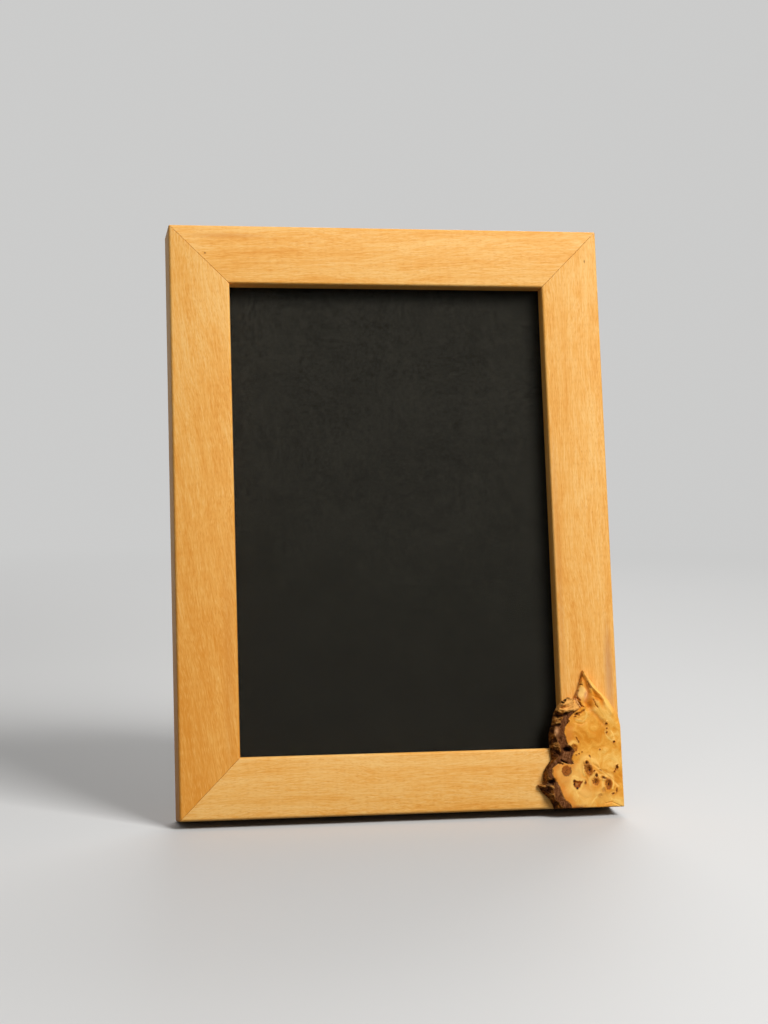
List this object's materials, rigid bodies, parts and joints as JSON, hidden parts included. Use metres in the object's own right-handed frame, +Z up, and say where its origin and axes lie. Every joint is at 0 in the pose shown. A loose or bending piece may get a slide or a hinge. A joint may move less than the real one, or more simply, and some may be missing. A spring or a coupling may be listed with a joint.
{
  "type": "picture frame",
  "caption": "Mitred wooden desk picture frame with a live-edge burl slab over its lower right corner, glazed, leaning back on a folding hinged strut.",
  "frame": {"origin": "on the supporting surface, under the middle of the whole object standing open on its strut", "axes": "+X to the viewer's right across the front, +Y to the back, so the front looks towards -Y, +Z up; the frame leans back 10.5 degrees"},
  "size_m": [0.184, 0.0908, 0.2452],
  "materials": {
    "beech": "planed, sanded and oiled, satin",
    "burl": "sanded and oiled burl with its natural bark edge",
    "glass": "clear picture glass",
    "card": "matt charcoal card",
    "foam_board": "white foam board",
    "hardboard": "brown hardboard",
    "steel": "bright plated steel"
  },
  "bodies": {
    "frame": {"left_stile": "beech", "right_stile": "beech", "top_rail": "beech", "bottom_rail": "beech", "burl_corner": "burl", "glass_pane": "glass", "print_card": "card", "filler_board": "foam_board", "backing_board": "hardboard", "corner_nail_bottom_left_inner": "steel", "corner_nail_bottom_left_outer": "steel", "corner_nail_bottom_right_inner": "steel", "corner_nail_bottom_right_outer": "steel", "corner_nail_top_left_inner": "steel", "corner_nail_top_left_outer": "steel", "corner_nail_top_right_inner": "steel", "corner_nail_top_right_outer": "steel", "button_screw_bottom_left": "steel", "button_screw_bottom_right": "steel", "button_screw_left_lower": "steel", "button_screw_left_upper": "steel", "button_screw_right_lower": "steel", "button_screw_right_upper": "steel", "button_screw_top_left": "steel", "button_screw_top_right": "steel", "hinge_leaf_fixed": "steel", "hinge_pin": "steel", "leaf_rivet_left": "steel", "leaf_rivet_right": "steel"},
    "strut": {"strut_leg": "beech", "hinge_leaf_moving": "steel", "leg_rivet_left": "steel", "leg_rivet_right": "steel"},
    "button_bottom_left": {"turn_button_bottom_left": "steel"},
    "button_bottom_right": {"turn_button_bottom_right": "steel"},
    "button_left_lower": {"turn_button_left_lower": "steel"},
    "button_left_upper": {"turn_button_left_upper": "steel"},
    "button_right_lower": {"turn_button_right_lower": "steel"},
    "button_right_upper": {"turn_button_right_upper": "steel"},
    "button_top_left": {"turn_button_top_left": "steel"},
    "button_top_right": {"turn_button_top_right": "steel"}
  },
  "joints": [
    {"name": "strut_fold", "type": "hinge", "parent": "frame", "child": "strut", "pos_m": [0, 0.01173, 0.16167], "axis": [1, 0, 0], "range_deg": [-21, 0]},
    {"name": "button_bottom_left_turn", "type": "hinge", "parent": "frame", "child": "button_bottom_left", "pos_m": [-0.048, -0.01811, 0.00855], "axis": [0, 0.9832, -0.1828], "continuous": true},
    {"name": "button_bottom_right_turn", "type": "hinge", "parent": "frame", "child": "button_bottom_right", "pos_m": [0.048, -0.01811, 0.00855], "axis": [0, 0.9832, -0.1828], "continuous": true},
    {"name": "button_left_lower_turn", "type": "hinge", "parent": "frame", "child": "button_left_lower", "pos_m": [-0.083, -0.00861, 0.05967], "axis": [0, 0.9832, -0.1828], "continuous": true},
    {"name": "button_left_upper_turn", "type": "hinge", "parent": "frame", "child": "button_left_upper", "pos_m": [-0.083, 0.01405, 0.18158], "axis": [0, 0.9832, -0.1828], "continuous": true},
    {"name": "button_right_lower_turn", "type": "hinge", "parent": "frame", "child": "button_right_lower", "pos_m": [0.083, -0.00861, 0.05967], "axis": [0, 0.9832, -0.1828], "continuous": true},
    {"name": "button_right_upper_turn", "type": "hinge", "parent": "frame", "child": "button_right_upper", "pos_m": [0.083, 0.01405, 0.18158], "axis": [0, 0.9832, -0.1828], "continuous": true},
    {"name": "button_top_left_turn", "type": "hinge", "parent": "frame", "child": "button_top_left", "pos_m": [-0.048, 0.02356, 0.23271], "axis": [0, 0.9832, -0.1828], "continuous": true},
    {"name": "button_top_right_turn", "type": "hinge", "parent": "frame", "child": "button_top_right", "pos_m": [0.048, 0.02356, 0.23271], "axis": [0, 0.9832, -0.1828], "continuous": true}
  ]
}
